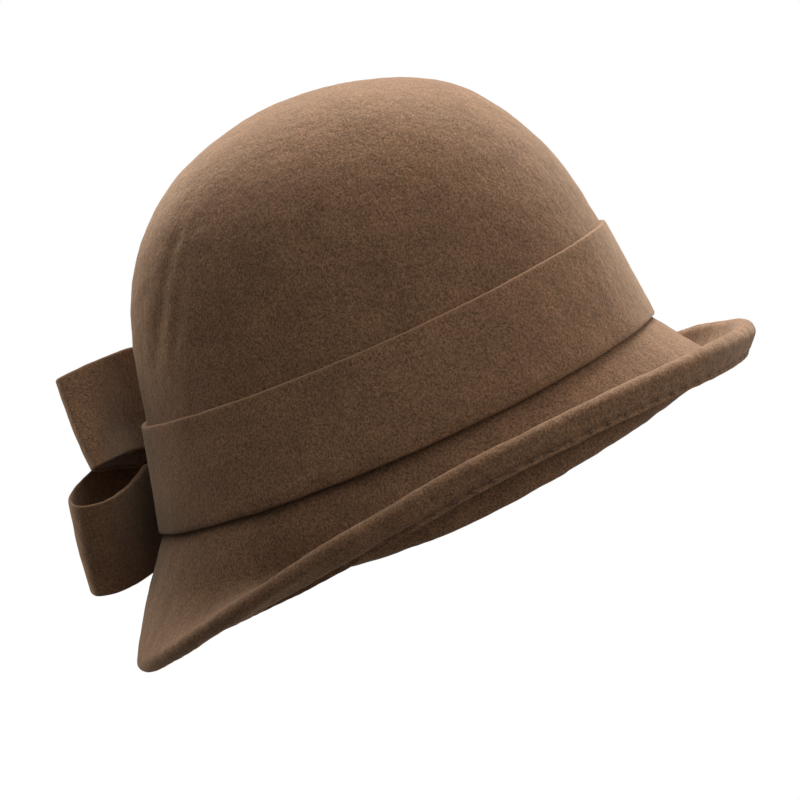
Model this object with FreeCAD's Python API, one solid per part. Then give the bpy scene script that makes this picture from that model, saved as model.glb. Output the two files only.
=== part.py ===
import FreeCAD, Part
import math
import os

# A wool felt hat with a round crown, a wide felt band, a brim whose hem is turned under over a wire,
# and a felt bow at the back. Millimetres. +X is the front, +Z runs up the crown, and the origin is the
# middle of the head opening, at the headline where the crown meets the brim.

V = FreeCAD.Vector

# Felt and trimmings
FELT = 2.2
BAND_FELT = 2.0
RIBBON = 0.8
THREAD_RADIUS = 0.3

# Crown, measured on the outside of the felt
HALF_LENGTH = 103.3
OVAL_RATIO = 0.83
CROWN_HEIGHT = 134.0
CROWN_TAPER = 0.164
CROWN_SQUARENESS = 5.1
CROWN_ROUNDNESS = 1.94
CROWN_LEAN = 15.9
CROWN_RECOVERY = 11.5

# Brim: each triple is the value at the front, at the sides and at the back
WIRE_OFFSET = (32.4, 24.5, 27.6)
WIRE_HEIGHT = (-21.0, -20.0, -44.4)
START_SLOPE = (70.0, 62.0, 50.0)
END_SLOPE = (50.0, 75.0, -60.0)
START_HANDLE = (22.0, 38.0, 14.0)
END_HANDLE = (20.0, 36.0, 14.0)
HEM_DEPTH = 8.8
HEM_CAVITY = 1.5
HEM_STITCH_STEP = 2.0
WIRE_RADIUS = 0.6
JOINER_RADIUS = 1.0
JOINER_HALF_ANGLE = 3.4
WIRE_SIDES = 12

# Band
BAND_BOTTOM = (0.0, -4.5, 0.0)
BAND_TOP = (40.0, 36.5, 40.0)
BAND_GAP_LOW = (0.6, 4.6, 0.6)
BAND_GAP_HIGH = 0.4

# Sweatband and its blank label
SWEAT_BOTTOM = 0.8
SWEAT_TOP = 26.0
SWEAT_GAP = 0.9
LABEL_WIDTH = 22.0
LABEL_HEIGHT = 14.0
LABEL_THICKNESS = 0.5

# Bow: two looped strips, one above the other, held by a knot that wraps both
BOW_ANGLE = 142.0
BOW_HEIGHT = 28.5
BAND_BEND = 83.0
PINCHED_WIDTH = 17.0
LEAF_GAP = 4.6
LEAF_SPACING = 3.2
UPPER_LOOP = {
    "reach": 53.0, "depth": 27.0, "width": 37.0, "level": 9.5, "rise": 14.0, "tilt": 31.0, "lean": 3.0,
    "spread": 0.15, "swing": 0.3,
}
LOWER_LOOP = {
    "reach": 63.5, "depth": 42.0, "width": 39.5, "level": -9.5, "rise": -21.5, "tilt": -25.0, "lean": 11.6,
    "spread": 0.2, "swing": 0.45,
}
KNOT_WIDTH = 22.0
KNOT_HEIGHT = 41.0
KNOT_GAP = 2.6
KNOT_CORNER = 1.9
KNOT_LEAN = 9.0
KNOT_CLEARANCE = 3.5

# Stitches
SEAM_STITCHES = 72
HEM_STITCHES = 96
SWEAT_STITCHES = 80
BAND_TACKS = 8

STATIONS = 40


def around(values, theta):
    """A value that runs smoothly round the hat through its front, side and back values."""
    front, side, back = values
    second = ((front + back) / 2 - side) / 2
    return side + second + (front - back) / 2 * math.cos(theta) + second * math.cos(2 * theta)


def crown_axes(z, inset=0.0):
    """Half length, half width and centre of the crown's oval at height z, for a surface set in."""
    height = CROWN_HEIGHT - inset
    share = min(max(z / height, 0.0), 1.0)
    shrink = (1 - share ** CROWN_SQUARENESS) ** (1 / CROWN_ROUNDNESS)
    half_length = (HALF_LENGTH - CROWN_TAPER * z) * shrink
    centre = CROWN_LEAN * share - CROWN_RECOVERY * share ** 2
    return half_length - inset * shrink, OVAL_RATIO * half_length - inset * shrink, centre


def on_oval(theta, z, offset, level=None):
    """A point outside the crown's oval by offset, at height z; level picks the oval followed."""
    half_length, half_width, centre = crown_axes(z if level is None else level)
    return V(centre + (half_length + offset) * math.cos(theta), (half_width + offset) * math.sin(theta), z)


def ring(section, stations=STATIONS, ruled=False):
    """A closed ring lofted through cross-sections, each a closed wire for one angle."""
    wires = [section(2 * math.pi * i / stations) for i in range(stations)]
    return Part.makeLoft(wires, True, ruled, True)


def closed_polygon(points):
    return Part.makePolygon(points + [points[0]])


def spaced(count, start=0.0):
    return [start + 2 * math.pi * i / count for i in range(count)]


def crown_solid(inset, lowest):
    """The filled space inside a crown surface, as a stack of ovals."""
    top = CROWN_HEIGHT - inset
    levels = [lowest] + [top * math.sin(math.pi / 2 * i / 16) for i in range(1, 16)] + [top - 0.05]
    wires = []
    for z in levels:
        half_length, half_width, centre = crown_axes(z, inset)
        oval = Part.Ellipse(V(centre, 0, z), half_length, half_width)
        wires.append(Part.Wire([oval.toShape()]))
    return Part.makeLoft(wires, True)


def crown():
    outside = crown_solid(0.0, 0.0)
    inside = crown_solid(FELT, -1.0)
    return outside.cut(inside)


def wire_centre(theta):
    """Offset and height of the middle of the wire, and the direction in which the brim reaches it."""
    slope = math.radians(around(END_SLOPE, theta))
    return around(WIRE_OFFSET, theta), around(WIRE_HEIGHT, theta), slope


def brim_section(theta):
    """The brim's felt from the headline to the rolled edge and back along the turned hem."""
    offset, height, slope = wire_centre(theta)
    start = math.radians(around(START_SLOPE, theta))
    start_handle = around(START_HANDLE, theta)
    end_handle = around(END_HANDLE, theta)
    along = (math.cos(slope), math.sin(slope))
    below = (math.sin(slope), -math.cos(slope))

    def place(step_along, step_below):
        reach = offset + step_along * along[0] + step_below * below[0]
        z = height + step_along * along[1] + step_below * below[1]
        return on_oval(theta, z, reach, 0.0)

    def leave(reach, drop):
        return on_oval(theta, drop, reach, 0.0)

    roll = HEM_CAVITY + FELT
    first = (start_handle * math.cos(start), -start_handle * math.sin(start))
    top_poles = [leave(0, 0), leave(*first), place(-end_handle, -roll), place(0, -roll)]
    low_poles = [
        place(0, -HEM_CAVITY),
        place(-end_handle, -HEM_CAVITY),
        leave(first[0] - FELT * math.sin(start), first[1] - FELT * math.cos(start)),
        leave(-FELT, 0),
    ]
    top = Part.BezierCurve()
    top.setPoles(top_poles)
    low = Part.BezierCurve()
    low.setPoles(low_poles)
    edges = [
        top.toShape(),
        Part.Arc(place(0, -roll), place(roll, 0), place(0, roll)).toShape(),
        Part.makeLine(place(0, roll), place(-HEM_DEPTH, roll)),
        Part.makeLine(place(-HEM_DEPTH, roll), place(-HEM_DEPTH, HEM_CAVITY)),
        Part.makeLine(place(-HEM_DEPTH, HEM_CAVITY), place(0, HEM_CAVITY)),
        Part.Arc(place(0, HEM_CAVITY), place(HEM_CAVITY, 0), place(0, -HEM_CAVITY)).toShape(),
        low.toShape(),
        Part.makeLine(leave(-FELT, 0), leave(0, 0)),
    ]
    return Part.Wire(edges)


def on_wire(theta):
    """The wire's own line: it lies against the inside of the fold."""
    offset, height, slope = wire_centre(theta)
    step = HEM_CAVITY - JOINER_RADIUS - 0.05
    return on_oval(theta, height + step * math.sin(slope), offset + step * math.cos(slope), 0.0)


def rod_along(start, end, radius, steps):
    """A many-sided rod along the wire's line between two angles."""
    wires = []
    for i in range(steps + 1):
        theta = start + (end - start) * i / steps
        tangent = (on_wire(theta + 0.01) - on_wire(theta - 0.01)).normalize()
        level = V(0, 0, 1).cross(tangent).normalize()
        upright = tangent.cross(level)
        corners = []
        for k in range(WIRE_SIDES):
            turn = 2 * math.pi * k / WIRE_SIDES
            corners.append(on_wire(theta) + level * radius * math.cos(turn) + upright * radius * math.sin(turn))
        wires.append(closed_polygon(corners))
    return Part.makeLoft(wires, True)


def brim_wire():
    gap = math.radians(0.3)
    return rod_along(-math.pi + gap, math.pi - gap, WIRE_RADIUS, 60)


def wire_joiner():
    half = math.radians(JOINER_HALF_ANGLE)
    outside = rod_along(math.pi - half, math.pi + half, JOINER_RADIUS, 6)
    bore = rod_along(math.pi - 1.2 * half, math.pi + 1.2 * half, WIRE_RADIUS + 0.05, 8)
    return outside.cut(bore)


def hat_band():
    def section(theta):
        low = around(BAND_BOTTOM, theta)
        high = around(BAND_TOP, theta)
        inner = []
        outer = []
        for share in (0.0, 0.5, 1.0):
            z = low + (high - low) * share
            gap = around(BAND_GAP_LOW, theta) * (1 - share) + BAND_GAP_HIGH * share
            inner.append(on_oval(theta, z, gap, max(z, 0.0)))
            outer.append(on_oval(theta, z, gap + BAND_FELT, max(z, 0.0)))
        return closed_polygon(inner + outer[::-1])

    return ring(section)


def sweatband():
    def section(theta):
        inner = []
        outer = []
        for share in (0.0, 0.5, 1.0):
            z = SWEAT_BOTTOM + (SWEAT_TOP - SWEAT_BOTTOM) * share
            outer.append(on_oval(theta, z, -FELT - SWEAT_GAP))
            inner.append(on_oval(theta, z, -FELT - SWEAT_GAP - RIBBON))
        return closed_polygon(inner + outer[::-1])

    return ring(section)


def size_label():
    """A blank folded tab sewn to the sweatband at the back, two layers with a fold at the top."""
    z = SWEAT_BOTTOM + 2.0
    surface = on_oval(math.pi, z + LABEL_HEIGHT / 2, -FELT - SWEAT_GAP - RIBBON)
    outside = Part.makeBox(3 * LABEL_THICKNESS, LABEL_WIDTH, LABEL_HEIGHT)
    slot = Part.makeBox(LABEL_THICKNESS, LABEL_WIDTH + 2, LABEL_HEIGHT)
    slot.translate(V(LABEL_THICKNESS, -1, -LABEL_THICKNESS))
    tab = outside.cut(slot)
    tab.translate(V(surface.x + 2.4, -LABEL_WIDTH / 2, z))
    return tab


def bow_point(along, out_by, up_by, lean_angle):
    """A point of the bow: along the band from its middle, outwards from the band, and up the lean."""
    lean = math.radians(lean_angle)
    theta = math.radians(BOW_ANGLE) - along / BAND_BEND
    offset = BAND_GAP_HIGH + BAND_FELT + out_by * math.cos(lean) - up_by * math.sin(lean)
    z = BOW_HEIGHT + out_by * math.sin(lean) + up_by * math.cos(lean)
    return on_oval(theta, z, offset, BOW_HEIGHT)


def opened(shape, along, full_share):
    """How far a loop has opened at a distance from the middle: 0 under the knot, 1 from full_share on."""
    held = KNOT_WIDTH / 2 + KNOT_CLEARANCE
    free = (abs(along) - held) / (shape["reach"] - held)
    return min(max(free / full_share, 0.0), 1.0)


def loop_outline(shape, turn, side):
    """A point on the strip's closed path, side is -1 on its inner face and 1 on its outer face."""
    along = shape["reach"] * math.cos(turn)
    half_depth = (LEAF_SPACING + (shape["depth"] - LEAF_SPACING) * opened(shape, along, 1.0) ** 0.8) / 2
    grow = side * BAND_FELT / 2
    out_by = LEAF_GAP + BAND_FELT / 2 + half_depth + (half_depth + grow) * math.sin(turn)
    return along + grow * math.cos(turn), out_by


def bow_strip(shape):
    """One strip folded into a loop on each side of the knot, narrowest under the knot.

    The loops swing up or down, and the leaf next to the hat swings sooner than the outer one.
    """
    tilt = math.radians(shape["tilt"])

    def section(turn):
        along_middle = shape["reach"] * math.cos(turn)
        spread = opened(shape, along_middle, shape["spread"])
        blend = spread * spread * (3 - 2 * spread)
        half = (PINCHED_WIDTH + (shape["width"] - PINCHED_WIDTH) * blend) / 2
        swing = opened(shape, along_middle, 1.0) ** (shape["swing"] * (1 + 0.5 * math.sin(turn)))
        middle = shape["level"] + shape["rise"] * swing
        points = []
        for side, edge in ((-1, -1), (-1, 1), (1, 1), (1, -1)):
            along, out_by = loop_outline(shape, turn, side)
            shift = math.copysign(blend, along) * math.sin(tilt) * edge * half
            up_by = middle + edge * half * math.cos(tilt * blend)
            points.append(bow_point(along - shift, out_by, up_by, shape["lean"]))
        return closed_polygon(points)

    return ring(section, 120, ruled=True)


def bow_knot():
    """The short felt wrap over the middle of both strips, bent with the band."""
    outer = LEAF_GAP + LEAF_SPACING + 2 * BAND_FELT + 0.6 + BAND_FELT
    half = KNOT_HEIGHT / 2

    def layer(inset, along):
        near = KNOT_GAP + inset
        far = outer - inset
        top = half - inset
        return closed_polygon([bow_point(along, *corner, KNOT_LEAN) for corner in (
            (near, -top), (far - KNOT_CORNER, -top), (far, KNOT_CORNER - top),
            (far, top - KNOT_CORNER), (far - KNOT_CORNER, top), (near, top),
        )])

    steps = [KNOT_WIDTH * (i / 6 - 0.5) for i in range(7)]
    outside = Part.makeLoft([layer(0.0, along) for along in steps], True)
    inside = Part.makeLoft([layer(BAND_FELT, along * 1.02) for along in steps], True)
    return outside.cut(inside)


def thread(start, end):
    return Part.makeCylinder(THREAD_RADIUS, (end - start).Length, start, end - start)


def headline_seam():
    """Overcast stitches on the inside, across the butt joint of crown and brim."""
    stitches = []
    for theta in spaced(SEAM_STITCHES):
        inside = -FELT - THREAD_RADIUS - 0.05
        stitches.append(thread(on_oval(theta, -2.0, inside, 0.0), on_oval(theta + 0.012, 0.6, inside, 0.0)))
    return Part.makeCompound(stitches)


def hem_stitching():
    """Small stitches near the raw edge of the turned hem, drawn down into the felt."""
    stitches = []
    for theta in spaced(HEM_STITCHES):
        ends = []
        for angle in (theta - 0.011, theta + 0.011):
            offset, height, slope = wire_centre(angle)
            step_along = -HEM_DEPTH + HEM_STITCH_STEP
            step_below = HEM_CAVITY + FELT
            reach = offset + step_along * math.cos(slope) + step_below * math.sin(slope)
            z = height + step_along * math.sin(slope) - step_below * math.cos(slope)
            ends.append(on_oval(angle, z, reach, 0.0))
        stitches.append(thread(*ends))
    return Part.makeCompound(stitches)


def sweatband_stitching():
    """Running stitches along the lower edge of the sweatband."""
    stitches = []
    inside = -FELT - SWEAT_GAP - RIBBON - THREAD_RADIUS
    for theta in spaced(SWEAT_STITCHES):
        z = SWEAT_BOTTOM + 2.0
        stitches.append(thread(on_oval(theta - 0.018, z, inside), on_oval(theta + 0.018, z, inside)))
    return Part.makeCompound(stitches)


def band_tacks():
    """Hidden tacks from the inside of the crown into the back of the band."""
    stitches = []
    for theta in spaced(BAND_TACKS, math.pi / BAND_TACKS):
        for z in (9.0, 31.0):
            stitches.append(thread(on_oval(theta, z, -FELT - 0.4), on_oval(theta, z, BAND_GAP_HIGH + 1.2)))
    return Part.makeCompound(stitches)


def bow_tacks():
    """Four threads that hold the knot and both strips to the band and the crown."""
    stitches = []
    for along in (-6.0, 6.0):
        for up_by in (-9.0, 9.0):
            inner = bow_point(along, -BAND_FELT - FELT - 1.2, up_by, KNOT_LEAN)
            outer = bow_point(along, LEAF_GAP + BAND_FELT + 0.6, up_by, KNOT_LEAN)
            stitches.append(thread(inner, outer))
    return Part.makeCompound(stitches)


def label_stitching():
    """Two short stitches that hold the label's lower corners to the sweatband."""
    stitches = []
    for y in (-LABEL_WIDTH / 2 + 3, LABEL_WIDTH / 2 - 3):
        z = SWEAT_BOTTOM + 3.5
        wall = on_oval(math.pi, z, -FELT - SWEAT_GAP).x
        stitches.append(thread(V(wall + 0.3, y, z), V(wall + 5.0, y, z)))
    return Part.makeCompound(stitches)


NODES = {
    "crown": crown,
    "brim": lambda: ring(brim_section),
    "brim_wire": brim_wire,
    "wire_joiner": wire_joiner,
    "headline_seam": headline_seam,
    "hem_stitching": hem_stitching,
    "hat_band": hat_band,
    "band_tacks": band_tacks,
    "bow_upper_strip": lambda: bow_strip(UPPER_LOOP),
    "bow_lower_strip": lambda: bow_strip(LOWER_LOOP),
    "bow_knot": bow_knot,
    "bow_tacks": bow_tacks,
    "sweatband": sweatband,
    "sweatband_stitching": sweatband_stitching,
    "size_label": size_label,
    "label_stitching": label_stitching,
}

os.makedirs("parts", exist_ok=True)
for name, make in NODES.items():
    shape = make()
    box = shape.optimalBoundingBox(True, False)
    size = f"{box.XMin:.1f}..{box.XMax:.1f}, {box.YMin:.1f}..{box.YMax:.1f}, {box.ZMin:.1f}..{box.ZMax:.1f}"
    print(f"{name}: solids {len(shape.Solids)}, valid {shape.isValid()}, volume {shape.Volume:.0f}, {size}")
    shape.exportStep(f"parts/{name}.step")
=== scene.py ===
import math

import bmesh
import bpy
import numpy as np
from mathutils import Matrix, Vector


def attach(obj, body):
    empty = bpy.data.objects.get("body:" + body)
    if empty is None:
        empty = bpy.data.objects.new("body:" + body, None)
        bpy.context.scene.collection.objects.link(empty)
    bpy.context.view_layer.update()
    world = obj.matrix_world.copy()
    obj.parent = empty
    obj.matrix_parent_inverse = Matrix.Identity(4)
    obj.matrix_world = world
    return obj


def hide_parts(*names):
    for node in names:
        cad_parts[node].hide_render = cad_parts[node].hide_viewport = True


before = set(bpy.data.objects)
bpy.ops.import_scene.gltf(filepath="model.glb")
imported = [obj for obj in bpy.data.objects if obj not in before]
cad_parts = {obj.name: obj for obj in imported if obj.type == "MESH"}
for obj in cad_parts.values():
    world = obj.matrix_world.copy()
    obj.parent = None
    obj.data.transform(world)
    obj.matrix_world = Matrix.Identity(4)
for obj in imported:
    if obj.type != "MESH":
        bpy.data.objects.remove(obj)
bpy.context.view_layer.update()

# The looks of a wool felt hat. Every piece is a fine mesh made from the measures of the part's own source,
# a few of them slightly adjusted. They are in millimetres, and turned into metres when a mesh is made.
# +X is the front of the hat and +Z runs up the crown.

MM = 0.001
TAU = 2 * math.pi

# Thickness of felt and trimmings
FELT = 2.2
BAND_FELT = 2.0
BOW_FELT = 2.6
RIBBON = 0.8
THREAD_RADIUS = 0.3

# Crown
HALF_LENGTH = 103.3
OVAL_RATIO = 0.83
CROWN_HEIGHT = 134.0
CROWN_TAPER = 0.164
CROWN_SQUARENESS = 5.1
CROWN_ROUNDNESS = 1.94
CROWN_LEAN = 15.9
CROWN_RECOVERY = 11.5

# Soft upright dents in the crown: angle in degrees at DENT_LEVEL, turn over DENT_RISE, width and depth
DENTS = ((-152.0, 11.0, 3.4, 0.8), (-142.5, 9.0, 3.0, 0.5))
DENT_LEVEL = 72.0
DENT_RISE = 31.0
DENT_BOTTOM = 52.0
DENT_BOTTOM_FADE = 22.0
DENT_TOP = 116.0
DENT_TOP_FADE = 18.0

# Brim: each triple is the value at the front, at the sides and at the back
WIRE_OFFSET = (32.4, 24.5, 27.6)
WIRE_HEIGHT = (-21.0, -20.0, -44.4)
START_SLOPE = (51.0, 62.0, 50.0)
END_SLOPE = (50.0, 75.0, -60.0)
START_HANDLE = (20.0, 38.0, 14.0)
END_HANDLE = (20.0, 36.0, 14.0)
HEM_DEPTH = 8.8
HEM_CAVITY = 1.5
HEM_STITCH_STEP = 2.0
HEM_SAG = (0.1, 0.4, 1.6)
HEM_CREASE = (0.4, 1.1, 1.0)
RAW_EDGE = 0.5
HEM_CLOSING = 0.4

# Band
BAND_BOTTOM = (0.0, -4.5, 0.0)
BAND_TOP = (40.0, 36.5, 40.0)
BAND_GAP_LOW = (0.6, 4.6, 0.6)
BAND_GAP_HIGH = 0.4

# Sweatband and its blank label
SWEAT_BOTTOM = 0.8
SWEAT_TOP = 26.0
SWEAT_GAP = 0.9
LABEL_WIDTH = 22.0
LABEL_HEIGHT = 14.0
LABEL_THICKNESS = 0.5
LABEL_LIFT = 2.0
LABEL_STANDOFF = 2.4

# Bow: BAND_BEND is the band's radius there. Each strip's loops reach along the band and open to a depth; its
# middle starts at a level and rises towards the ends, sooner with a small swing; it widens from the pinched
# width within the spread share of its reach; tilt and lean are in degrees; and above TUCK_START its rear leaf
# is tucked in towards the crown.
BOW_ANGLE = 142.0
BOW_HEIGHT = 28.5
BAND_BEND = 83.0
TUCK_START = 13.0
PINCHED_WIDTH = 17.0
LEAF_GAP = 4.6
LEAF_SPACING = 3.2
UPPER_LOOP = {
    "reach": 53.0, "depth": 23.5, "width": 41.0, "level": 9.5, "rise": 14.8, "tilt": 31.0, "lean": -3.0,
    "spread": 0.08, "swing": 0.3, "tuck": 0.27,
}
LOWER_LOOP = {
    "reach": 63.5, "depth": 42.0, "width": 39.5, "level": -9.5, "rise": -21.5, "tilt": -25.0, "lean": 11.6,
    "spread": 0.2, "swing": 0.45, "tuck": 0.0,
}
KNOT_WIDTH = 22.0
KNOT_HEIGHT = 41.0
KNOT_GAP = 2.6
KNOT_CORNER = 3.0
KNOT_LEAN = 9.0
KNOT_CLEARANCE = 3.5

# Stitches
SEAM_STITCHES = 72
HEM_STITCHES = 96
SWEAT_STITCHES = 80
BAND_TACKS = 8
BAND_TACK_LEVELS = (9.0, 31.0)
BOW_TACK_STEP = 6.0
BOW_TACK_RISE = 9.0
SEAM_STITCH_TURN = 0.012
HEM_STITCH_TURN = 0.009
HEM_STITCH_SINK = 0.75
SWEAT_STITCH_TURN = 0.018

# Uneven surface of each piece: wavelength, height and seed of every layer
CROWN_RELIEF = ((46.0, 0.35, 1), (15.0, 0.10, 2), (5.0, 0.05, 3))
BRIM_RELIEF = ((34.0, 0.25, 4), (11.0, 0.10, 5), (4.5, 0.05, 6))
BAND_RELIEF = ((22.0, 0.12, 7), (6.0, 0.05, 8))
UPPER_RELIEF = ((26.0, 0.20, 11), (7.0, 0.06, 12))
LOWER_RELIEF = ((26.0, 0.20, 21), (7.0, 0.06, 22))
KNOT_RELIEF = ((9.0, 0.06, 31),)

# Fineness of the meshes
CROWN_AROUND = 448
CROWN_OUTSIDE_ROWS = 170
CROWN_INSIDE_ROWS = 90
BRIM_STEPS_PER_STITCH = 8
STITCH_SIDES = 8
STITCH_STEPS = 9
EDGE_STEPS = 5

# Colours
FELT_COLOUR = (0.148, 0.079, 0.042)
SHEEN_COLOUR = (1.0, 0.77, 0.56, 1)
RIBBON_COLOUR = (0.045, 0.028, 0.019)
LABEL_COLOUR = (0.30, 0.26, 0.21)
THREAD_COLOUR = (0.10, 0.055, 0.034)
STEEL_COLOUR = (0.46, 0.45, 0.43)
BRASS_COLOUR = (0.70, 0.52, 0.25)
FLOOR_COLOUR = (0.42, 0.42, 0.42, 1)

# Camera: a long lens a little above the hat, rolled so that the hat tips back as it does when worn
CAMERA_ELEVATION = math.radians(4.0)
CAMERA_ROLL = math.radians(23.99)
CAMERA_DISTANCE = 2.86
CAMERA_RIGHT = -0.00227
CAMERA_UP = 0.00845
LENS = 329.5
SENSOR_WIDTH = 36.0

# Stage: floor and backdrop in metres, light of the surroundings, and two round lamps
FLOOR_LEVEL = -0.30
FLOOR_RADIUS = 0.58
FLOOR_FADE = (0.22, 0.56)
BACKDROP_RADIUS = 12.0
WORLD_FAINT = 0.08
WORLD_STRONG = 1.5
WORLD_SPREAD = (-0.35, 0.95)
LAMP_DISTANCE = 1.5
KEY_SIZE = 1.1
KEY_POWER = 54.0
KEY_TILT = math.radians(25)
FILL_LEFT = 0.72
FILL_BEHIND = 0.70
FILL_SIZE = 0.9
FILL_POWER = 13.0
FILL_COLOUR = (1.0, 0.80, 0.62)


def around(values, theta):
    """A value that runs smoothly round the hat through its front, side and back values."""
    front, side, back = values
    second = ((front + back) / 2 - side) / 2
    return side + second + (front - back) / 2 * np.cos(theta) + second * np.cos(2 * theta)


def crown_axes(z, inset=0.0):
    """Half length, half width and centre of the crown's oval at height z, for a surface set in."""
    height = CROWN_HEIGHT - inset
    share = np.clip(z / height, 0.0, 1.0)
    shrink = (1 - share ** CROWN_SQUARENESS) ** (1 / CROWN_ROUNDNESS)
    half_length = (HALF_LENGTH - CROWN_TAPER * z) * shrink
    centre = CROWN_LEAN * share - CROWN_RECOVERY * share ** 2
    return half_length - inset * shrink, OVAL_RATIO * half_length - inset * shrink, centre


def on_oval(theta, z, offset, level=None):
    """Points outside the crown's oval by offset, at height z; level picks the oval followed."""
    half_length, half_width, centre = crown_axes(z if level is None else level)
    x = centre + (half_length + offset) * np.cos(theta)
    y = (half_width + offset) * np.sin(theta)
    return np.stack(np.broadcast_arrays(x, y, z), axis=-1).astype(float)


def ripple(points, wavelength, seed, waves=26):
    """Smooth random relief over points in millimetres, about -1 to 1, from waves in random directions."""
    draw = np.random.default_rng(seed)
    directions = draw.normal(size=(waves, 3))
    directions /= np.linalg.norm(directions, axis=1)[:, None]
    lengths = draw.uniform(0.7, 1.4, waves) * wavelength
    phases = draw.uniform(0, TAU, waves)
    flat = points.reshape(-1, 3)
    total = np.zeros(len(flat))
    for direction, length, phase in zip(directions, lengths, phases):
        total += np.sin(flat @ direction * TAU / length + phase)
    return (total / math.sqrt(waves / 2) / 1.7).reshape(points.shape[:-1])


def smooth_step(share):
    """0 below 0, 1 above 1, and a soft rise between."""
    share = np.clip(share, 0.0, 1.0)
    return share * share * (3 - 2 * share)


def make_object(name, vertices, faces, edge=None):
    """A smooth mesh object from points in millimetres, with an optional cut-edge share per point."""
    mesh = bpy.data.meshes.new(name)
    mesh.from_pydata((np.asarray(vertices) * MM).tolist(), [], faces)
    work = bmesh.new()
    work.from_mesh(mesh)
    bmesh.ops.recalc_face_normals(work, faces=work.faces)
    work.to_mesh(mesh)
    work.free()
    mesh.polygons.foreach_set("use_smooth", [True] * len(mesh.polygons))
    if edge is not None:
        layer = mesh.attributes.new("cut_edge", "FLOAT", "POINT")
        layer.data.foreach_set("value", np.asarray(edge, dtype=np.float32).ravel())
    obj = bpy.data.objects.new(name, mesh)
    bpy.context.scene.collection.objects.link(obj)
    return obj


def grid_faces(rows, columns, wrap_rows, wrap_columns):
    """Quads over a grid of points numbered row by row."""
    faces = []
    for i in range(rows if wrap_rows else rows - 1):
        for j in range(columns if wrap_columns else columns - 1):
            row = i * columns
            next_row = (i + 1) % rows * columns
            next_j = (j + 1) % columns
            faces.append((row + j, row + next_j, next_row + next_j, next_row + j))
    return faces


def relief(obj, layers):
    """Moves each point along its normal by the sum of ripples; layers hold wavelength, height and seed."""
    mesh = obj.data
    count = len(mesh.vertices)
    places = np.zeros(count * 3)
    normals = np.zeros(count * 3)
    mesh.vertices.foreach_get("co", places)
    mesh.vertices.foreach_get("normal", normals)
    places = places.reshape(-1, 3)
    normals = normals.reshape(-1, 3)
    steps = np.zeros(count)
    for wavelength, height, seed in layers:
        steps += ripple(places / MM, wavelength, seed) * height
    mesh.vertices.foreach_set("co", (places + normals * steps[:, None] * MM).ravel())
    mesh.update()


def strip_section(thickness, across):
    """Once round a strip of cloth: shares of the half width, steps beyond it, depths and cut-edge shares."""
    half = thickness / 2
    section = []
    for side in (1.0, -1.0):
        for share in np.linspace(-side, side, across):
            section.append((share, 0.0, side * half, 0.0))
        for turn in np.linspace(0, math.pi, EDGE_STEPS + 2)[1:-1]:
            section.append((side, side * 0.7 * half * math.sin(turn), side * half * math.cos(turn), 1.0))
    return np.array(section).T


def cloth_loop(name, place, stations, across, thickness, closed=True):
    """A strip of cloth along a path. place(path, share, beyond, depth) gives the points in millimetres."""
    share, beyond, depth, edge = strip_section(thickness, across)
    path = np.linspace(0, 1, stations, endpoint=not closed)
    points = place(path[:, None], share[None, :], beyond[None, :], depth[None, :])
    rows, columns = points.shape[:2]
    faces = grid_faces(rows, columns, closed, True)
    if not closed:
        faces.append(tuple(range(columns)))
        faces.append(tuple((rows - 1) * columns + j for j in range(columns)))
    return make_object(name, points.reshape(-1, 3), faces, np.tile(edge, rows))


# ---------- pieces ----------

def dents(theta, z):
    """Soft upright dents pressed into the crown near its back, on the wearer's right."""
    depth = np.zeros(np.broadcast(theta, z).shape)
    fade = smooth_step((z - DENT_BOTTOM) / DENT_BOTTOM_FADE) * smooth_step((DENT_TOP - z) / DENT_TOP_FADE)
    for start, turn, width, deep in DENTS:
        line = start + turn * (z - DENT_LEVEL) / DENT_RISE
        across = (np.degrees(theta) - line) / width
        depth = depth - deep * np.exp(-across ** 2) * fade
    return depth


def crown():
    """The round felt crown: an outer and an inner skin, joined along the edge at the headline."""
    theta = np.linspace(-math.pi, math.pi, CROWN_AROUND, endpoint=False)[None, :]

    def layer(inset, count):
        rise = np.linspace(0, math.pi / 2, count + 1)[:-1][:, None]
        z = (CROWN_HEIGHT - inset) * np.sin(rise) + 0 * theta
        half_length, half_width, centre = crown_axes(z, inset)
        press = dents(theta, z)
        x = centre + (half_length + press) * np.cos(theta)
        y = (half_width + press) * np.sin(theta)
        return np.stack([x, y, z], axis=-1)

    outside = layer(0.0, CROWN_OUTSIDE_ROWS)
    inside = layer(FELT, CROWN_INSIDE_ROWS)[::-1]
    rows = np.concatenate([inside, outside])
    count = len(rows)
    faces = grid_faces(count, CROWN_AROUND, False, True)
    centre_top = CROWN_LEAN - CROWN_RECOVERY
    vertices = rows.reshape(-1, 3).tolist()
    vertices.append([centre_top, 0.0, CROWN_HEIGHT - FELT])
    vertices.append([centre_top, 0.0, CROWN_HEIGHT])
    last = (count - 1) * CROWN_AROUND
    inner_top = count * CROWN_AROUND
    for j in range(CROWN_AROUND):
        following = (j + 1) % CROWN_AROUND
        faces.append((j, following, inner_top))
        faces.append((last + j, last + following, inner_top + 1))
    obj = make_object("felt_crown", vertices, faces, np.zeros(len(vertices)))
    relief(obj, CROWN_RELIEF)
    return obj


def bezier(poles, count):
    """Points of a cubic curve for every angle; poles are four arrays of (reach, height)."""
    share = np.linspace(0, 1, count)[None, :, None]
    first, second, third, last = (pole[:, None, :] for pole in poles)
    left = 1 - share
    early = left ** 3 * first + 3 * left ** 2 * share * second
    return early + 3 * left * share ** 2 * third + share ** 3 * last


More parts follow.
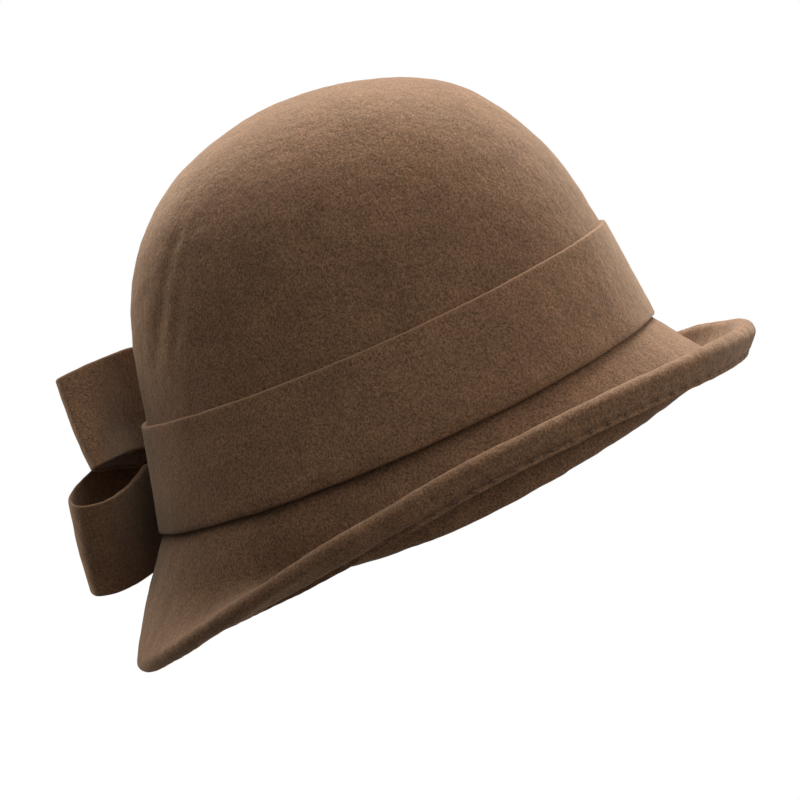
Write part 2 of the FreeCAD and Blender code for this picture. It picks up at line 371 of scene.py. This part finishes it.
def turned_hem(theta, place):
    """The felt round the wire and back under the brim, in five runs of points; the third is the raw edge."""
    roll = HEM_CAVITY + FELT
    beat = np.cos(theta * HEM_STITCHES)
    turn = np.linspace(-math.pi / 2, math.pi / 2, 18)[None, 1:-1] + 0 * theta[:, None]
    scallop = 0.04 * beat[:, None] * np.sin(turn * 0.5 + math.pi / 4)
    outer = place((roll + scallop) * np.cos(turn), (roll + scallop) * np.sin(turn))

    back = np.linspace(0, -HEM_DEPTH + RAW_EDGE, 34)[None, :] + 0 * theta[:, None]
    stitch_line = -HEM_DEPTH + HEM_STITCH_STEP
    groove = np.exp(-((back - stitch_line) / 1.0) ** 2)
    pucker = np.exp(-((back - stitch_line - 1.2) / 3.4) ** 2)
    lip = smooth_step((stitch_line - back) / (HEM_DEPTH + stitch_line))
    press = smooth_step(-back / HEM_DEPTH)
    sag = around(HEM_SAG, theta)[:, None] * smooth_step(-back / 5.0)
    crease = groove * (0.85 + 0.16 * beat[:, None]) + 0.07 * pucker * beat[:, None] - 0.45 * lip
    below = roll + sag - 0.5 * press - crease * around(HEM_CREASE, theta)[:, None]
    leg = place(back, below)
    edge_low = below[:, -1:]
    thick = edge_low - HEM_CAVITY + HEM_CLOSING
    swing = np.linspace(0, math.pi, 9)[None, 1:-1]
    raw_back = -HEM_DEPTH + RAW_EDGE - RAW_EDGE * np.sin(swing) + 0 * edge_low
    raw = place(raw_back, edge_low - thick * (1 - np.cos(swing)) / 2)
    inner_back = np.linspace(-HEM_DEPTH + RAW_EDGE, 0, 12)[None, :-1] + 0 * theta[:, None]
    inner_leg = place(inner_back, HEM_CAVITY - HEM_CLOSING * smooth_step(-inner_back / HEM_DEPTH))
    inner_turn = np.linspace(math.pi / 2, -math.pi / 2, 10)[None, :-1] + 0 * theta[:, None]
    inner_arc = place(HEM_CAVITY * np.cos(inner_turn), HEM_CAVITY * np.sin(inner_turn))
    return outer, leg, raw, inner_leg, inner_arc


def brim():
    """The brim's felt from the headline over the rolled edge and back along the turned hem."""
    around_count = HEM_STITCHES * BRIM_STEPS_PER_STITCH
    theta = np.linspace(0, TAU, around_count, endpoint=False)
    offset = around(WIRE_OFFSET, theta)
    height = around(WIRE_HEIGHT, theta)
    slope = np.radians(around(END_SLOPE, theta))
    start = np.radians(around(START_SLOPE, theta))
    start_handle = around(START_HANDLE, theta)
    end_handle = around(END_HANDLE, theta)

    def place(along, below):
        reach = offset[:, None] + along * np.cos(slope)[:, None] + below * np.sin(slope)[:, None]
        z = height[:, None] + along * np.sin(slope)[:, None] - below * np.cos(slope)[:, None]
        return np.stack([reach, z], axis=-1)

    def single(along, below):
        return place(np.asarray(along).reshape(-1, 1) * np.ones((around_count, 1)), below)[:, 0, :]

    def leave(reach, drop):
        return np.stack([reach, drop], axis=-1)

    roll = HEM_CAVITY + FELT
    none = np.zeros(around_count)
    first = leave(start_handle * np.cos(start), -start_handle * np.sin(start))
    inner_first = first - FELT * leave(np.sin(start), np.cos(start))
    top = bezier((leave(none, none), first, single(-end_handle, -roll), single(0.0, -roll)), 44)
    inner_start = leave(none - FELT, none)
    low = bezier((single(0.0, -HEM_CAVITY), single(-end_handle, -HEM_CAVITY), inner_first, inner_start), 34)

    outer, leg, raw, inner_leg, inner_arc = turned_hem(theta, place)
    parts = [top, outer, leg, raw, inner_leg, inner_arc, low]
    section = np.concatenate(parts, axis=1)
    edge = np.concatenate([np.full(part.shape[1], 1.0 if part is raw else 0.0) for part in parts])
    points = on_oval(theta[:, None], section[..., 1], section[..., 0], 0.0)
    faces = grid_faces(points.shape[0], points.shape[1], True, True)
    obj = make_object("felt_brim", points.reshape(-1, 3), faces, np.tile(edge, around_count))
    relief(obj, BRIM_RELIEF)
    return obj


def band_place(path, share, beyond, depth):
    """Points of the band: round it, up it, beyond its edges and out of the middle of its felt."""
    theta = path * TAU
    low = around(BAND_BOTTOM, theta)
    high = around(BAND_TOP, theta)
    z = (low + high) / 2 + share * (high - low) / 2 + beyond
    rise = (share + 1) / 2
    gap = around(BAND_GAP_LOW, theta) * (1 - rise) + BAND_GAP_HIGH * rise
    wave = 0.18 * np.sin(7 * theta + 1.3) * (1 - rise) + 0.12 * np.sin(11 * theta + 0.4)
    return on_oval(theta, z, gap + BAND_FELT / 2 + depth + np.maximum(wave, -0.25), np.maximum(z, 0.0))


def hat_band():
    """The wide felt band."""
    obj = cloth_loop("felt_band", band_place, 560, 36, BAND_FELT)
    relief(obj, BAND_RELIEF)
    return obj


def bow_point(along, out_by, up_by, lean_angle):
    """Points of the bow: along the band from its middle, outwards from the band, and up the lean."""
    lean = math.radians(lean_angle)
    theta = math.radians(BOW_ANGLE) - along / BAND_BEND
    offset = BAND_GAP_HIGH + BAND_FELT + out_by * math.cos(lean) - up_by * math.sin(lean)
    z = BOW_HEIGHT + out_by * math.sin(lean) + up_by * math.cos(lean)
    return on_oval(theta, z, offset, BOW_HEIGHT)


def opened(shape, along, full_share):
    """How far a loop has opened at a distance from the middle: 0 under the knot, 1 from full_share on."""
    held = KNOT_WIDTH / 2 + KNOT_CLEARANCE
    free = (np.abs(along) - held) / (shape["reach"] - held)
    return np.clip(free / full_share, 0.0, 1.0)


def bow_strip(name, shape, layers):
    """One strip folded into a loop on each side of the knot, narrowest under the knot."""
    tilt = math.radians(shape["tilt"])

    def place(path, share, beyond, depth):
        turn = path * TAU
        middle_along = shape["reach"] * np.cos(turn)
        blend = smooth_step(opened(shape, middle_along, shape["spread"]))
        half = (PINCHED_WIDTH + (shape["width"] - PINCHED_WIDTH) * blend) / 2
        swing = opened(shape, middle_along, 1.0) ** (shape["swing"] * (1 + 0.5 * np.sin(turn)))
        middle = shape["level"] + shape["rise"] * swing
        spacing = LEAF_SPACING + (shape["depth"] - LEAF_SPACING) * opened(shape, middle_along, 1.0) ** 0.8
        out_by = LEAF_GAP + BAND_FELT / 2 + spacing / 2 + (spacing / 2 + depth) * np.sin(turn)
        width = share * half + beyond
        fold = 0.35 * (1 - blend) * np.cos(share * math.pi * 2.5)
        shift = np.copysign(blend, middle_along) * math.sin(tilt) * width
        along = middle_along + depth * np.cos(turn) - shift
        up_by = middle + width * np.cos(tilt * blend)
        tuck = shape["tuck"] * np.clip(-np.sin(turn), 0.0, 1.0) * np.maximum(up_by - TUCK_START, 0.0)
        return bow_point(along, out_by + fold - tuck, up_by, shape["lean"])

    obj = cloth_loop(name, place, 420, 40, BOW_FELT)
    relief(obj, layers)
    return obj


def bow_knot():
    """The short felt wrap over the middle of both strips, bent with the band."""
    outer = LEAF_GAP + LEAF_SPACING + 2 * BAND_FELT + 0.6 + BAND_FELT
    half_deep = (outer - KNOT_GAP - BAND_FELT) / 2
    half_tall = (KNOT_HEIGHT - BAND_FELT) / 2
    middle = (outer + KNOT_GAP) / 2
    straight_deep = 2 * (half_deep - KNOT_CORNER)
    straight_tall = 2 * (half_tall - KNOT_CORNER)
    quarter = KNOT_CORNER * math.pi / 2
    legs = (straight_tall, quarter, straight_deep, quarter)
    total = 2 * sum(legs)

    def path_frame(step):
        """Place and outward direction on a rounded rectangle, from the lower outside corner upwards."""
        step = step % total
        side = 1.0 if step < total / 2 else -1.0
        rest = step % (total / 2)
        if rest < legs[0]:
            spot = (half_deep, rest - straight_tall / 2, 0.0)
        elif rest < legs[0] + legs[1]:
            turn = (rest - legs[0]) / KNOT_CORNER
            spot = (straight_deep / 2 + KNOT_CORNER * math.cos(turn),
                    straight_tall / 2 + KNOT_CORNER * math.sin(turn), turn)
        elif rest < legs[0] + legs[1] + legs[2]:
            spot = (straight_deep / 2 - (rest - legs[0] - legs[1]), half_tall, math.pi / 2)
        else:
            turn = math.pi / 2 + (rest - legs[0] - legs[1] - legs[2]) / KNOT_CORNER
            spot = (-straight_deep / 2 + KNOT_CORNER * math.cos(turn),
                    straight_tall / 2 + KNOT_CORNER * math.sin(turn), turn)
        return side * spot[0], side * spot[1], side * math.cos(spot[2]), side * math.sin(spot[2])

    def place(path, share, beyond, depth):
        frames = np.array([path_frame(step) for step in path.ravel() * total])
        out_by, up_by, out_way, up_way = (frames[:, k][:, None] for k in range(4))
        waist = 1 - 0.10 * np.cos(up_by / half_tall * math.pi / 2) ** 2
        width = share * (KNOT_WIDTH / 2 - 0.7) * waist + beyond
        fold = 0.28 * np.cos(share * math.pi * 3) * (np.abs(out_way) > 0.5)
        out_by = middle + out_by + (depth + fold) * out_way
        return bow_point(width, out_by, up_by + depth * up_way, KNOT_LEAN)

    obj = cloth_loop("felt_bow_knot", place, 200, 26, BAND_FELT)
    relief(obj, KNOT_RELIEF)
    return obj


def sweatband():
    """The ribbed ribbon inside the headline, which stands off the felt a little more in some places."""
    def place(path, share, beyond, depth):
        theta = path * TAU
        z = (SWEAT_BOTTOM + SWEAT_TOP) / 2 + share * (SWEAT_TOP - SWEAT_BOTTOM) / 2 + beyond
        rib = 0.07 * np.cos(theta * 360)
        bulge = np.minimum(0.35 * np.cos(share * math.pi / 2) * np.sin(5 * theta + 0.6), 0.2)
        return on_oval(theta, z, -FELT - SWEAT_GAP - RIBBON / 2 + bulge + depth + rib * np.sign(depth))

    return cloth_loop("ribbon_sweatband", place, 1440, 14, RIBBON)


def size_label():
    """A blank folded tab sewn to the sweatband at the back, two layers with a fold at the top."""
    z = SWEAT_BOTTOM + LABEL_LIFT
    wall = on_oval(math.pi, np.array(z + LABEL_HEIGHT / 2), -FELT - SWEAT_GAP - RIBBON)[0] + LABEL_STANDOFF
    turn_radius = LABEL_THICKNESS
    leg = LABEL_HEIGHT - turn_radius - LABEL_THICKNESS / 2
    length = 2 * leg + math.pi * turn_radius

    def place(path, share, beyond, depth):
        step = path * length
        turn = np.clip((step - leg) / turn_radius, 0.0, math.pi)
        back_leg = step > leg + math.pi * turn_radius
        straight = np.where(step < leg, step, np.where(back_leg, length - step, leg))
        x = wall + LABEL_THICKNESS * 1.5 - (turn_radius + depth) * np.cos(turn) - 0.25
        height = z + straight + (turn_radius + depth) * np.sin(turn)
        y = share * LABEL_WIDTH / 2 + beyond + 0 * path
        curl = 0.25 * np.cos(y / LABEL_WIDTH * math.pi) * straight / leg
        return np.stack(np.broadcast_arrays(x + curl, y, height), axis=-1)

    return cloth_loop("woven_label", place, 64, 22, LABEL_THICKNESS * 0.9, closed=False)


# ---------- threads ----------

def stitch_mesh(name, ends, radius, outward, bow_out=0.25):
    """Short threads, each a bent rod with rounded ends; outward gives the way each one bows."""
    vertices = []
    faces = []
    for (start, end), way in zip(ends, outward):
        start = np.asarray(start, float)
        end = np.asarray(end, float)
        tangent = (end - start) / np.linalg.norm(end - start)
        way = way - tangent * float(way @ tangent)
        way /= np.linalg.norm(way)
        other = np.cross(tangent, way)
        base = len(vertices)
        for i in range(STITCH_STEPS):
            share = i / (STITCH_STEPS - 1)
            girth = radius * math.sqrt(max(1 - abs(2 * share - 1) ** 8, 0.04))
            centre = start + (end - start) * share + way * bow_out * math.sin(math.pi * share)
            for k in range(STITCH_SIDES):
                turn = TAU * k / STITCH_SIDES
                vertices.append(centre + girth * (way * math.cos(turn) + other * math.sin(turn)))
        for face in grid_faces(STITCH_STEPS, STITCH_SIDES, False, True):
            faces.append(tuple(base + corner for corner in face))
        last = base + (STITCH_STEPS - 1) * STITCH_SIDES
        faces.append(tuple(base + k for k in range(STITCH_SIDES)))
        faces.append(tuple(last + k for k in range(STITCH_SIDES)))
    return make_object(name, vertices, faces)


def spaced(count, start=0.0):
    """Angles in equal steps round the hat."""
    return [start + TAU * i / count for i in range(count)]


def radial(theta, sign=1.0):
    """The level direction straight out of the hat at an angle, or into it when sign is -1."""
    return sign * np.array([math.cos(theta), math.sin(theta), 0.0])


def headline_seam():
    """Overcast stitches across the joint of crown and brim, on the inside."""
    ends = []
    outward = []
    inside = -FELT - THREAD_RADIUS - 0.05
    for theta in spaced(SEAM_STITCHES):
        start = on_oval(theta, np.array(-2.0), inside, 0.0)
        ends.append((start, on_oval(theta + SEAM_STITCH_TURN, np.array(0.6), inside, 0.0)))
        outward.append(radial(theta, -1.0))
    return stitch_mesh("thread_headline_seam", ends, THREAD_RADIUS, outward)


def hem_stitching():
    """Small stitches near the raw edge of the turned hem, drawn down into the felt."""
    ends = []
    outward = []
    along = -HEM_DEPTH + HEM_STITCH_STEP
    lift = HEM_CAVITY + FELT - HEM_STITCH_SINK
    for theta in spaced(HEM_STITCHES, math.pi / HEM_STITCHES):
        pair = []
        for angle in (theta - HEM_STITCH_TURN, theta + HEM_STITCH_TURN):
            slope = math.radians(around(END_SLOPE, angle))
            below = lift + around(HEM_SAG, angle)
            reach = around(WIRE_OFFSET, angle) + along * math.cos(slope) + below * math.sin(slope)
            z = around(WIRE_HEIGHT, angle) + along * math.sin(slope) - below * math.cos(slope)
            pair.append(on_oval(angle, np.array(z), reach, 0.0))
        ends.append(pair)
        down = radial(theta) * math.sin(slope) + np.array([0.0, 0.0, -math.cos(slope)])
        outward.append(down)
    return stitch_mesh("thread_hem", ends, THREAD_RADIUS, outward, 0.3)


def sweatband_stitching():
    """Running stitches along the foot of the sweatband."""
    ends = []
    outward = []
    inside = -FELT - SWEAT_GAP - RIBBON - THREAD_RADIUS * 0.6
    z = np.array(SWEAT_BOTTOM + 2.0)
    for theta in spaced(SWEAT_STITCHES):
        start = on_oval(theta - SWEAT_STITCH_TURN, z, inside)
        ends.append((start, on_oval(theta + SWEAT_STITCH_TURN, z, inside)))
        outward.append(radial(theta, -1.0))
    return stitch_mesh("thread_sweatband", ends, THREAD_RADIUS * 0.8, outward)


def band_tacks():
    """Tacks from inside the crown into the band."""
    ends = []
    outward = []
    for theta in spaced(BAND_TACKS, math.pi / BAND_TACKS):
        for z in BAND_TACK_LEVELS:
            inner = on_oval(theta, np.array(z), -FELT - 0.4)
            outer = on_oval(theta, np.array(z), BAND_GAP_HIGH + 1.2)
            ends.append((inner, outer))
            outward.append(np.array([0.0, 0.0, 1.0]))
    return stitch_mesh("thread_band_tacks", ends, THREAD_RADIUS, outward, 0.1)


def bow_tacks():
    """Threads through the crown, the band and the middle of the bow, under the knot."""
    ends = []
    outward = []
    for along in (-BOW_TACK_STEP, BOW_TACK_STEP):
        for up_by in (-BOW_TACK_RISE, BOW_TACK_RISE):
            inner = bow_point(along, np.array(-BAND_FELT - FELT - 1.2), up_by, KNOT_LEAN)
            outer = bow_point(along, np.array(LEAF_GAP + BAND_FELT + 0.6), up_by, KNOT_LEAN)
            ends.append((inner, outer))
            outward.append(np.array([0.0, 0.0, 1.0]))
    return stitch_mesh("thread_bow_tacks", ends, THREAD_RADIUS, outward, 0.1)


def label_stitching():
    """One stitch at each side of the label."""
    ends = []
    outward = []
    z = SWEAT_BOTTOM + 3.5
    wall = float(on_oval(math.pi, np.array(z), -FELT - SWEAT_GAP)[0])
    for y in (-LABEL_WIDTH / 2 + 3, LABEL_WIDTH / 2 - 3):
        ends.append(((wall + 0.3, y, z), (wall + 5.0, y, z)))
        outward.append(np.array([0.0, 0.0, 1.0]))
    return stitch_mesh("thread_label", ends, THREAD_RADIUS, outward, 0.15)


# ---------- materials ----------

def new_material(name):
    """A material with its nodes, its links and its main shader."""
    material = bpy.data.materials.new(name)
    material.use_nodes = True
    nodes = material.node_tree.nodes
    return material, nodes, material.node_tree.links, nodes["Principled BSDF"]


def noise(nodes, links, place, scale, detail, stretch=(1, 1, 1), roughness=0.6):
    """Fine random values over the object, stretched along chosen axes."""
    mapping = nodes.new("ShaderNodeMapping")
    mapping.inputs["Scale"].default_value = stretch
    links.new(place, mapping.inputs["Vector"])
    texture = nodes.new("ShaderNodeTexNoise")
    texture.inputs["Scale"].default_value = scale
    texture.inputs["Detail"].default_value = detail
    texture.inputs["Roughness"].default_value = roughness
    links.new(mapping.outputs["Vector"], texture.inputs["Vector"])
    return texture.outputs["Fac"]


def ramp(nodes, links, source, low, high, dark, light):
    """A colour that runs from dark to light as the source runs from low to high."""
    node = nodes.new("ShaderNodeValToRGB")
    node.color_ramp.elements[0].position = low
    node.color_ramp.elements[0].color = (*dark, 1)
    node.color_ramp.elements[1].position = high
    node.color_ramp.elements[1].color = (*light, 1)
    links.new(source, node.inputs["Fac"])
    return node.outputs["Color"]


def mix_colour(nodes, links, kind, share, first, second):
    """Two colours mixed or multiplied; each input is a value or another node's output."""
    node = nodes.new("ShaderNodeMix")
    node.data_type = "RGBA"
    node.blend_type = kind
    for value, socket in ((share, node.inputs[0]), (first, node.inputs[6]), (second, node.inputs[7])):
        if isinstance(value, bpy.types.NodeSocket):
            links.new(value, socket)
        else:
            socket.default_value = value
    return node.outputs[2]


def scaled(base, factor):
    """A colour made darker or lighter."""
    return tuple(channel * factor for channel in base)


def fine_relief(nodes, links, height, strength, distance, below=None):
    """Relief in the shading only, in metres; below is the relief that this one lies on."""
    node = nodes.new("ShaderNodeBump")
    node.inputs["Strength"].default_value = strength
    node.inputs["Distance"].default_value = distance
    links.new(height, node.inputs["Height"])
    if below is not None:
        links.new(below, node.inputs["Normal"])
    return node.outputs["Normal"]


def felt_material(name, base, grain=1.0, painted_edge_highlight=1.15):
    """Wool felt: streaky grain, soft mottling, a painted highlight along the cut edges and a soft bloom at
    grazing angles.
    """
    material, nodes, links, shader = new_material(name)
    place = nodes.new("ShaderNodeTexCoord").outputs["Object"]
    streaks = noise(nodes, links, place, 1250, 4, (1.0, 1.0, 0.8), 0.7)
    colour = ramp(nodes, links, streaks, 0.36, 0.66, scaled(base, 0.50), scaled(base, 1.60))
    mottle = noise(nodes, links, place, 70, 3)
    shade = ramp(nodes, links, mottle, 0.3, 0.7, (0.88, 0.88, 0.88), (1.12, 1.11, 1.10))
    colour = mix_colour(nodes, links, "MULTIPLY", 1.0, colour, shade)
    # Cut edges are lightened here: a painted highlight where the felt's edges catch the light
    edge = nodes.new("ShaderNodeAttribute")
    edge.attribute_name = "cut_edge"
    pale = scaled(base, painted_edge_highlight) + (1,)
    colour = mix_colour(nodes, links, "MIX", edge.outputs["Fac"], colour, pale)
    links.new(colour, shader.inputs["Base Color"])
    shader.inputs["Roughness"].default_value = 0.95
    shader.inputs["Specular IOR Level"].default_value = 0.15
    shader.inputs["Sheen Weight"].default_value = 0.30
    shader.inputs["Sheen Roughness"].default_value = 0.45
    shader.inputs["Sheen Tint"].default_value = SHEEN_COLOUR
    coarse = noise(nodes, links, place, 380, 4, (1.0, 1.0, 0.8))
    fine = noise(nodes, links, place, 1500, 4, (1.0, 1.0, 0.7), 0.75)
    soft = fine_relief(nodes, links, coarse, 0.55 * grain, 0.0009)
    links.new(fine_relief(nodes, links, fine, 0.7 * grain, 0.0004, soft), shader.inputs["Normal"])
    return material


def ribbon_material(name, base):
    """Grosgrain: fine upright ribs of thread."""
    material, nodes, links, shader = new_material(name)
    place = nodes.new("ShaderNodeTexCoord").outputs["Object"]
    weave = noise(nodes, links, place, 1600, 3, (1, 1, 0.15))
    colour = ramp(nodes, links, weave, 0.35, 0.65, scaled(base, 0.7), scaled(base, 1.3))
    links.new(colour, shader.inputs["Base Color"])
    shader.inputs["Roughness"].default_value = 0.6
    shader.inputs["Sheen Weight"].default_value = 0.25
    links.new(fine_relief(nodes, links, weave, 0.5, 0.0002), shader.inputs["Normal"])
    return material


def thread_material(name, base):
    """Spun thread with small light and dark turns."""
    material, nodes, links, shader = new_material(name)
    place = nodes.new("ShaderNodeTexCoord").outputs["Object"]
    twist = noise(nodes, links, place, 3200, 2)
    colour = ramp(nodes, links, twist, 0.35, 0.65, scaled(base, 0.7), scaled(base, 1.35))
    links.new(colour, shader.inputs["Base Color"])
    shader.inputs["Roughness"].default_value = 0.7
    links.new(fine_relief(nodes, links, twist, 0.5, 0.0001), shader.inputs["Normal"])
    return material


def metal_material(name, base, rough):
    """Drawn metal with faint scuffs."""
    material, nodes, links, shader = new_material(name)
    place = nodes.new("ShaderNodeTexCoord").outputs["Object"]
    scuff = noise(nodes, links, place, 900, 4)
    colour = ramp(nodes, links, scuff, 0.35, 0.65, scaled(base, 0.75), base)
    links.new(colour, shader.inputs["Base Color"])
    shader.inputs["Metallic"].default_value = 1.0
    shader.inputs["Roughness"].default_value = rough
    links.new(fine_relief(nodes, links, scuff, 0.2, 0.0001), shader.inputs["Normal"])
    return material


# ---------- the object ----------

felt = felt_material("wool_felt", FELT_COLOUR)
trim_felt = felt_material("wool_felt_trim", FELT_COLOUR, 0.8, 1.2)
ribbon = ribbon_material("grosgrain", RIBBON_COLOUR)
label_cloth = ribbon_material("label_cloth", LABEL_COLOUR)
thread = thread_material("sewing_thread", THREAD_COLOUR)
steel = metal_material("spring_steel", STEEL_COLOUR, 0.38)
brass = metal_material("brass_sleeve", BRASS_COLOUR, 0.34)


def add(obj, material, slot, *nodes):
    """One finished piece: its material, its body, its slot, which is not used, and the nodes that it stands
    for.
    """
    obj.data.materials.clear()
    obj.data.materials.append(material)
    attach(obj, "root")
    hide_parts(*nodes)
    return obj


crown_piece = add(crown(), felt, "felt", "crown")
add(brim(), felt, "felt", "brim")
band_piece = add(hat_band(), trim_felt, "felt", "hat_band")
upper_piece = add(bow_strip("felt_bow_upper", UPPER_LOOP, UPPER_RELIEF), trim_felt, "felt", "bow_upper_strip")
lower_piece = add(bow_strip("felt_bow_lower", LOWER_LOOP, LOWER_RELIEF), trim_felt, "felt", "bow_lower_strip")
knot_piece = add(bow_knot(), trim_felt, "felt", "bow_knot")
sweat_piece = add(sweatband(), ribbon, "ribbon", "sweatband")
add(size_label(), label_cloth, "label", "size_label")
add(headline_seam(), thread, "thread", "headline_seam")
add(hem_stitching(), thread, "thread", "hem_stitching")
add(sweatband_stitching(), thread, "thread", "sweatband_stitching")
add(band_tacks(), thread, "thread", "band_tacks")
add(bow_tacks(), thread, "thread", "bow_tacks")
add(label_stitching(), thread, "thread", "label_stitching")

for node, material in (("brim_wire", steel), ("wire_joiner", brass)):
    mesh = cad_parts[node].data
    mesh.materials.clear()
    mesh.materials.append(material)


# ---------- stage ----------

def floor():
    """A pale disc far below the hat that fades into the white around it."""
    bpy.ops.mesh.primitive_circle_add(vertices=128, radius=FLOOR_RADIUS, fill_type="NGON",
                                      location=(0, 0, FLOOR_LEVEL))
    disc = bpy.context.object
    disc.name = "floor"
    material, nodes, links, shader = new_material("pale_floor")
    shader.inputs["Base Color"].default_value = FLOOR_COLOUR
    shader.inputs["Roughness"].default_value = 0.9
    place = nodes.new("ShaderNodeTexCoord").outputs["Object"]
    distance = nodes.new("ShaderNodeVectorMath")
    distance.operation = "LENGTH"
    links.new(place, distance.inputs[0])
    fade = nodes.new("ShaderNodeMapRange")
    fade.interpolation_type = "SMOOTHSTEP"
    fade.inputs["From Min"].default_value = FLOOR_FADE[0]
    fade.inputs["From Max"].default_value = FLOOR_FADE[1]
    links.new(distance.outputs["Value"], fade.inputs["Value"])
    clear = nodes.new("ShaderNodeBsdfTransparent")
    blend = nodes.new("ShaderNodeMixShader")
    links.new(fade.outputs["Result"], blend.inputs[0])
    links.new(shader.outputs["BSDF"], blend.inputs[1])
    links.new(clear.outputs["BSDF"], blend.inputs[2])
    links.new(blend.outputs["Shader"], nodes["Material Output"].inputs["Surface"])
    disc.data.materials.append(material)
    return disc


def backdrop():
    """A white globe round the whole stage that only the camera sees, so it lights nothing."""
    bpy.ops.mesh.primitive_uv_sphere_add(segments=48, ring_count=24, radius=BACKDROP_RADIUS)
    globe = bpy.context.object
    globe.name = "backdrop"
    material, nodes, links, shader = new_material("white_backdrop")
    nodes.remove(shader)
    glow = nodes.new("ShaderNodeEmission")
    links.new(glow.outputs["Emission"], nodes["Material Output"].inputs["Surface"])
    globe.data.materials.append(material)
    globe.visible_diffuse = False
    globe.visible_glossy = False
    globe.visible_transmission = False
    globe.visible_shadow = False
    return globe


def studio_world(way):
    """Soft light that is strongest from one direction and faint from the opposite one."""
    world = bpy.data.worlds.new("soft_studio")
    world.use_nodes = True
    nodes = world.node_tree.nodes
    links = world.node_tree.links
    direction = nodes.new("ShaderNodeTexCoord").outputs["Generated"]
    along = nodes.new("ShaderNodeVectorMath")
    along.operation = "DOT_PRODUCT"
    along.inputs[1].default_value = way
    links.new(direction, along.inputs[0])
    level = nodes.new("ShaderNodeMapRange")
    level.interpolation_type = "SMOOTHSTEP"
    level.inputs["From Min"].default_value = WORLD_SPREAD[0]
    level.inputs["From Max"].default_value = WORLD_SPREAD[1]
    level.inputs["To Min"].default_value = WORLD_FAINT
    level.inputs["To Max"].default_value = WORLD_STRONG
    links.new(along.outputs["Value"], level.inputs["Value"])
    links.new(level.outputs["Result"], nodes["Background"].inputs["Strength"])
    nodes["Background"].inputs["Color"].default_value = (1, 1, 1, 1)
    return world


def area_light(name, way, size, power):
    """A round lamp that shines at the hat from the direction way."""
    light = bpy.data.lights.new(name, "AREA")
    light.shape = "DISK"
    light.size = size
    light.energy = power
    obj = bpy.data.objects.new(name, light)
    bpy.context.scene.collection.objects.link(obj)
    way = Vector(way).normalized()
    obj.location = way * LAMP_DISTANCE
    obj.rotation_mode = "QUATERNION"
    obj.rotation_quaternion = way.to_track_quat("Z", "Y")
    return obj


floor_disc = floor()

right = Vector((1, 0, 0))
up = Vector((0, math.sin(CAMERA_ELEVATION), math.cos(CAMERA_ELEVATION)))
back = Vector((0, -math.cos(CAMERA_ELEVATION), math.sin(CAMERA_ELEVATION)))
camera_right = right * math.cos(CAMERA_ROLL) - up * math.sin(CAMERA_ROLL)
camera_up = right * math.sin(CAMERA_ROLL) + up * math.cos(CAMERA_ROLL)

backdrop()
key_way = camera_up * math.cos(KEY_TILT) - back * math.sin(KEY_TILT)
key = area_light("key", key_way, KEY_SIZE, KEY_POWER)
fill = area_light("side_fill", -camera_right * FILL_LEFT - back * FILL_BEHIND, FILL_SIZE, FILL_POWER)
fill.data.color = FILL_COLOUR

# The key lamp leaves out the floor and the bow, which lies in the shade of the crown
receivers = bpy.data.collections.new("key_receivers")
for shaded in (floor_disc, upper_piece, lower_piece, knot_piece):
    receivers.objects.link(shaded)
for member in receivers.collection_objects:
    member.light_linking.link_state = "EXCLUDE"
key.light_linking.receiver_collection = receivers

scene = bpy.context.scene
scene.world = studio_world((camera_up + camera_right * 0.3 - back * 0.1).normalized())
scene.view_settings.view_transform = "Standard"

camera_data = bpy.data.cameras.new("camera")
camera_data.sensor_width = SENSOR_WIDTH
camera_data.lens = LENS
camera_data.clip_start = 0.1
camera_data.clip_end = 20.0
camera = bpy.data.objects.new("camera", camera_data)
scene.collection.objects.link(camera)
turned = Matrix((camera_right, camera_up, back)).transposed().to_4x4()
turned.translation = back * CAMERA_DISTANCE + camera_right * CAMERA_RIGHT + camera_up * CAMERA_UP
camera.matrix_world = turned
scene.camera = camera
